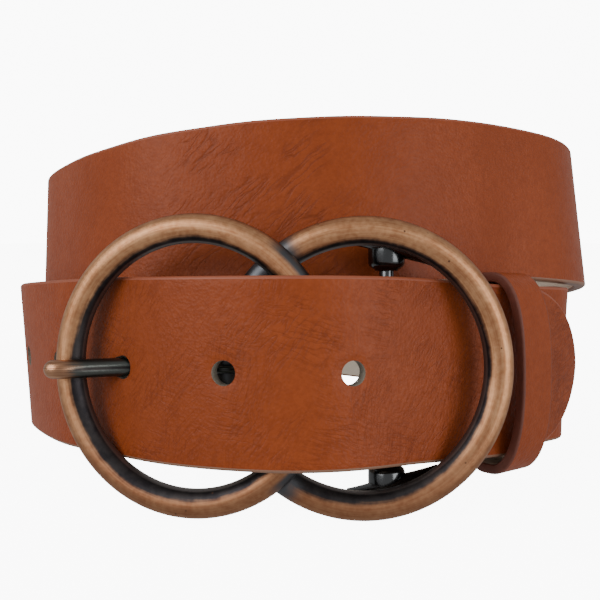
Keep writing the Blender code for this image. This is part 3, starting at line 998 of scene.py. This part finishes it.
nose_along = unit(shank[-1] - shank[-2]) * PRONG
nose = shank[-1] + np.outer(np.sin(nose_turn), nose_along)
grow = np.interp(shank_share, [0, 0.45, 2], [PRONG_EYE_SHARE, 1, 1])
prong_path = np.concatenate((eye, shank, nose))
eye_sizes = np.full(len(eye), PRONG_EYE_SHARE)
prong_size = PRONG * np.concatenate((eye_sizes, grow, np.cos(nose_turn)))
rows, angle = rod_rows(prong_path, prong_size, PRONG_SIDES)
nose_share = np.full(len(nose), shank_share[-1])
prong_share = np.concatenate((np.zeros(len(eye)), shank_share, nose_share))
prong_places = np.broadcast_arrays(prong_share[:, None], np.sin(angle)[None, :])
prong_map = np.stack(prong_places, -1)
groove = 1 - GROOVE_DEPTH * np.exp(-(((angle - math.pi) / GROOVE_WIDTH) ** 2))
grooved = np.interp(prong_share, [0.3, 0.4, 0.85, 0.95], [0, 1, 1, 0])[:, None]
spoke_size = (1 - grooved + grooved * groove)[..., None]
rows = prong_path[:, None, :] + (rows - prong_path[:, None, :]) * spoke_size
prong_mesh = grid_mesh("prong", rows, {"prong_at": prong_map}, caps=("first", "last"))
prong = place_piece("prong_pin", prong_mesh, (prong_metal,), "prong")
prong_mesh.set_sharp_from_angle(angle=math.radians(50))
# The shank's room in the strap starts past the eye.
past_eye = slice(SHANK_PAST_EYE, None)
channel_radii = PRONG * grow[past_eye] + GAP
channel = ("prong_channel", shank[past_eye], channel_radii, PRONG_SIDES)
channel = rod_tool(*channel, hole_wall)
shape_with(strap, "DIFFERENCE", cutters + [channel])

# The keeper: one flat band, its front a soft arc over the tongue.
keeper_place = np.interp(KEEPER_TURN + TWO_TURNS, fine, travel)
keeper_out = unit(pick(outward, [keeper_place]) * (1, 1, 0))[0]
keeper_along = np.cross((0, 0, 1), keeper_out)
outer_skin = pick(middle, [keeper_place])[0] + keeper_out * STRAP_THICKNESS / 2
half_depth = STRAP_THICKNESS + GAP / 2 + KEEPER_ROOM + KEEPER_THICKNESS / 2
half_height = HALF_WIDTH + KEEPER_HEADROOM + KEEPER_THICKNESS / 2
keeper_centre = outer_skin - keeper_out * (STRAP_THICKNESS + GAP / 2)
keeper_centre -= keeper_along * KEEPER_SLIDE
keeper_centre[2] -= KEEPER_SAG
front_turns = np.radians(np.linspace(-90, 90, KEEPER_FRONT_ROWS + 2))[1:-1]
squareness = np.where(front_turns > 0, KEEPER_TOP_SQUARENESS, KEEPER_LOW_SQUARENESS)
forward = np.abs(np.cos(front_turns)) ** (2 / squareness)
height = np.abs(np.sin(front_turns)) ** (2 / squareness) * np.sign(front_turns)
front_run = np.stack(((half_depth + KEEPER_BOW) * forward, half_height * height), -1)
back_turns = np.radians(np.linspace(90, 180, KEEPER_CORNER_ROWS))
back_corner = np.stack(
    (
        KEEPER_CORNER * (1 + np.cos(back_turns)) - half_depth,
        half_height - KEEPER_CORNER * (1 - np.sin(back_turns)),
    ),
    -1,
)
low_corner = back_corner[::-1] * (1, -1)
share = np.linspace(0, 1, KEEPER_BACK_ROWS + 2)[1:-1, None]
back_run = back_corner[-1] + (low_corner[0] - back_corner[-1]) * share
lap = np.concatenate((front_run, back_corner, back_run, low_corner))
ahead = np.roll(lap, -1, 0) - np.roll(lap, 1, 0)
lap_normal = unit(np.stack((ahead[:, 1], -ahead[:, 0]), -1))
flat_half = KEEPER_WIDTH / 2 - KEEPER_EDGE
thick = KEEPER_THICKNESS / 2
curl_across = flat_half + KEEPER_EDGE * np.sin(round_edge)
band_across = np.concatenate(
    (
        np.linspace(1, -1, FACE_POINTS) * flat_half,
        -curl_across,
        np.linspace(-1, 1, BACK_POINTS) * flat_half,
        curl_across,
    )
)
curl_out = thick - KEEPER_EDGE + KEEPER_EDGE * np.abs(np.cos(round_edge))
curl_out = np.sign(np.cos(round_edge)) * curl_out
face_out = np.full(FACE_POINTS, thick)
back_out = np.full(BACK_POINTS, -thick)
band_out = np.concatenate((face_out, curl_out, back_out, -curl_out))
straight_up = np.array((0, 0, 1))
spokes = lap_normal[:, :1] * keeper_out + lap_normal[:, 1:] * straight_up
spots = keeper_centre + lap[:, :1] * keeper_out + lap[:, 1:] * straight_up
spots = spots - KEEPER_SLANT * (lap[:, 1:] / half_height) ** 2 * keeper_along
points = (
    spots[:, None, :]
    + band_out[None, :, None] * spokes[:, None, :]
    + band_across[None, :, None] * keeper_along
)
lap_steps = np.linalg.norm(np.diff(lap, axis=0, prepend=lap[:1]), axis=1)
lap_travel = np.cumsum(lap_steps)[:, None] + KEEPER_GRAIN_FROM
keeper_map = np.stack(np.broadcast_arrays(lap_travel, band_across[None, :]), -1)
keeper_mesh = grid_mesh("keeper", points, {"belt_at": keeper_map}, (True, True))
section = (np.zeros(FACE_POINTS - 1), edge_band, np.full(BACK_POINTS - 1, 2), edge_band)
finish_of = np.tile(np.concatenate(section), len(points)).astype(np.int32)
keeper_finishes = (leather, keeper_edge, lining)
keeper = place_piece("keeper_band", keeper_mesh, keeper_finishes, "keeper_loop")
keeper_mesh.polygons.foreach_set("material_index", finish_of)

# The setting: pale floor and backdrop, camera and soft lights.
pale, tree, _, place = start_finish("pale_floor")
set_finish(
    tree,
    Base_Color=place.noise(3, 1).paint(*PALE_FLOOR),
    Roughness=0.9,
    Specular_IOR_Level=0.1,
    Emission_Color=(1.0, 1.0, 1.0),
    Emission_Strength=FLOOR_GLOW,
)
paper, tree, _, _ = start_finish("white_paper")
set_finish(
    tree,
    Base_Color=(0.9, 0.9, 0.9),
    Emission_Color=(1.0, 1.0, 1.0),
    Emission_Strength=PAPER_GLOW,
)


def stage_piece(name, points, faces, finish):
    """Part of the setting, which gives the belt none of its own glow."""
    mesh = bpy.data.meshes.new(name)
    mesh.from_pydata(points, [], faces)
    mesh.materials.append(finish)
    made = add_object(name, mesh)
    made.visible_diffuse = False
    made.visible_glossy = False
    made.visible_shadow = False
    return made


corners = ((-1, -1), (1, -1), (1, 1), (-1, 1))
square = [(SETTING_REACH * x, SETTING_REACH * y, 0) for x, y in corners]
stage_piece("floor", square, [(0, 1, 2, 3)], pale)
paper_turns = np.radians(np.arange(0, 360, BACKDROP_STEP))
paper_x = SETTING_REACH * np.cos(paper_turns)
paper_y = SETTING_REACH * np.sin(paper_turns)
low_ring = [(x, y, -BACKDROP_BELOW) for x, y in zip(paper_x, paper_y)]
high_ring = [(x, y, 2 * SETTING_REACH) for x, y in zip(paper_x, paper_y)]
count = len(paper_turns)
walls = [
    (i, (i + 1) % count, (i + 1) % count + count, i + count) for i in range(count)
]
lid = [tuple(range(count, 2 * count))]
stage_piece("backdrop", low_ring + high_ring, walls + lid, paper)

camera_data = bpy.data.cameras.new("camera")
camera_data.sensor_width = SENSOR
camera_data.lens = FOCAL_PIXELS / PHOTO_SIZE * SENSOR
camera_data.shift_y = (AXIS_ROW - PHOTO_SIZE / 2) / PHOTO_SIZE
camera_data.clip_start = 0.01
camera = add_object("camera", camera_data)
upright_camera = Matrix.Rotation(math.pi / 2, 4, "X")
camera.matrix_world = stand @ Matrix.Translation(EYE_POINT) @ upright_camera
bpy.context.scene.camera = camera


def soft_light(name, at, size, watts, towards=(0, 0, 0.04)):
    data = bpy.data.lights.new(name, "AREA")
    data.shape = "RECTANGLE"
    data.size, data.size_y = size
    data.energy = watts
    made = add_object(name, data)
    made.location = at
    aim = Vector(towards) - Vector(at)
    made.rotation_euler = aim.to_track_quat("-Z", "Y").to_euler()


soft_light("key", (-0.80, -0.80, 0.60), (0.9, 0.9), 12)
soft_light("fill", (0.90, -0.75, 0.20), (0.7, 0.7), 6.8)
world = bpy.data.worlds.new("studio")
world.use_nodes = True
background = world.node_tree.nodes["Background"]
background.inputs["Color"].default_value = (1, 1, 1, 1)
background.inputs["Strength"].default_value = WORLD_GLOW
bpy.context.scene.world = world
